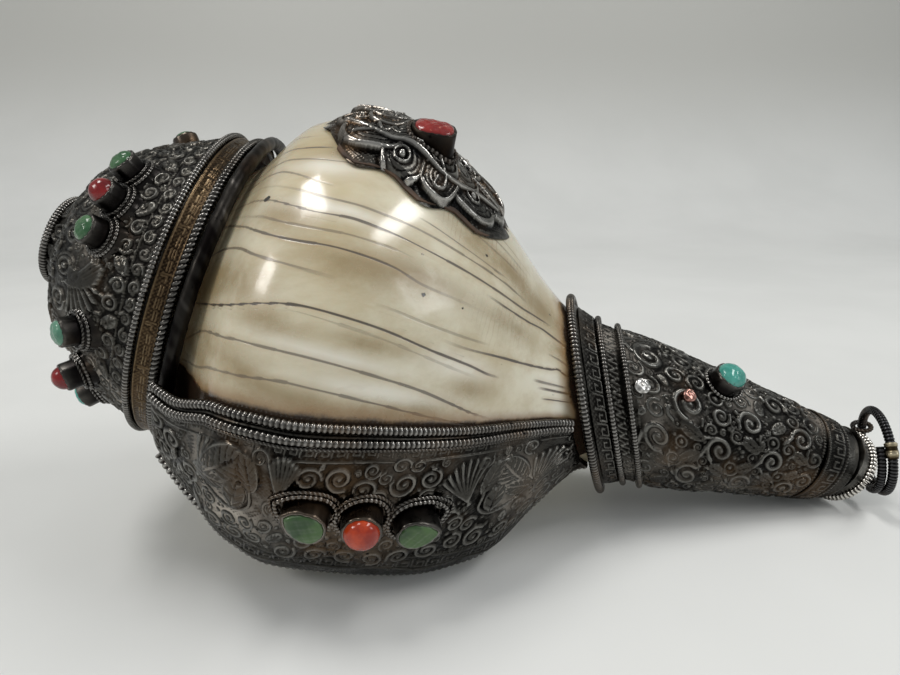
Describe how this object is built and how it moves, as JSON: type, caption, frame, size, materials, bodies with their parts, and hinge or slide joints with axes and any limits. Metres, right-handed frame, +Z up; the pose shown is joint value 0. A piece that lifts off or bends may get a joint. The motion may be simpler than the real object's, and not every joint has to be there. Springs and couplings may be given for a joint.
{
  "type": "conch shell trumpet",
  "caption": "Conch-shell horn with relief-worked silver spire cap, lip plate and tail sleeve, set stones, a crest plaque and a hinged hanging ring.",
  "frame": {"origin": "on the surface that it lies on, under the middle of the whole object", "axes": "+X runs from the mouthpiece to the narrow tail, +Y to the back, +Z up; the edge of the shell's lip faces the front and down"},
  "size_m": [0.2455, 0.121, 0.1178],
  "materials": {
    "shell": "polished ivory-coloured shell with dark growth cracks",
    "oxidised_silver": "blackened silver sheet worked in relief, rubbed paler on the high points",
    "dark_silver": "blackened silver wire and cast work",
    "worn_silver": "rubbed bright, whitish",
    "bright_silver": "polished",
    "black_wire": "black, closely ribbed",
    "brassy_silver": "dull brassy brown",
    "brass": "dull",
    "copper": "satin copper",
    "lac": "matt dark brown resin",
    "coral": "glossy",
    "orange_coral": "glossy, mottled",
    "green_stone": "glossy, mottled",
    "turquoise": "glossy with a black matrix"
  },
  "bodies": {
    "trumpet": {"conch_shell": "shell", "spire_cap": "oxidised_silver", "cap_pitch": "lac", "mouthpiece": "oxidised_silver", "mouthpiece_rim_wire": "dark_silver", "cap_beaded_wire": "dark_silver", "cap_engraved_band": "brassy_silver", "cap_rope_wire": "dark_silver", "cap_flange_ring": "dark_silver", "lip_plate": "oxidised_silver", "lip_beaded_wire": "dark_silver", "lip_rope_wire": "dark_silver", "lip_ribbed_wire": "dark_silver", "tail_sleeve": "oxidised_silver", "sleeve_pitch": "lac", "sleeve_mouth_wire": "dark_silver", "sleeve_middle_wire": "dark_silver", "sleeve_inner_wire": "dark_silver", "sleeve_key_band": "oxidised_silver", "tail_key_band": "oxidised_silver", "tail_ferrule": "oxidised_silver", "tail_ribbed_collar": "worn_silver", "ring_eyelet": "dark_silver", "crest_plaque": "dark_silver", "crest_pitch": "lac", "crest_bezel": "dark_silver", "crest_coral": "coral", "sleeve_bezel": "dark_silver", "sleeve_turquoise": "turquoise", "sleeve_silver_stud": "bright_silver", "sleeve_copper_stud": "copper", "cap_bezels_1": "dark_silver", "cap_bezels_2": "dark_silver", "cap_bezels_3": "dark_silver", "cap_bezels_4": "dark_silver", "cap_coral_1": "coral", "cap_coral_2": "coral", "cap_coral_3": "coral", "cap_coral_4": "coral", "cap_green_stone_1": "green_stone", "cap_green_stone_2": "green_stone", "cap_green_stone_3": "turquoise", "cap_green_stone_4": "turquoise", "cap_green_stone_5": "green_stone", "cap_green_stone_6": "green_stone", "cap_green_stone_7": "turquoise", "cap_green_stone_8": "turquoise", "lip_bezel_1": "dark_silver", "lip_bezel_2": "dark_silver", "lip_bezel_3": "dark_silver", "lip_stone_1": "green_stone", "lip_stone_2": "orange_coral", "lip_stone_3": "green_stone"},
    "ring": {"suspension_ring": "black_wire", "ring_second_turn": "black_wire", "ring_joint_sleeve": "brass"}
  },
  "joints": [
    {"name": "ring_swing", "type": "hinge", "parent": "trumpet", "child": "ring", "pos_m": [0.1193, 0.00781, 0.02221], "axis": [-0.2076, -0.1753, 0.9624], "range_deg": [0, 150]}
  ]
}
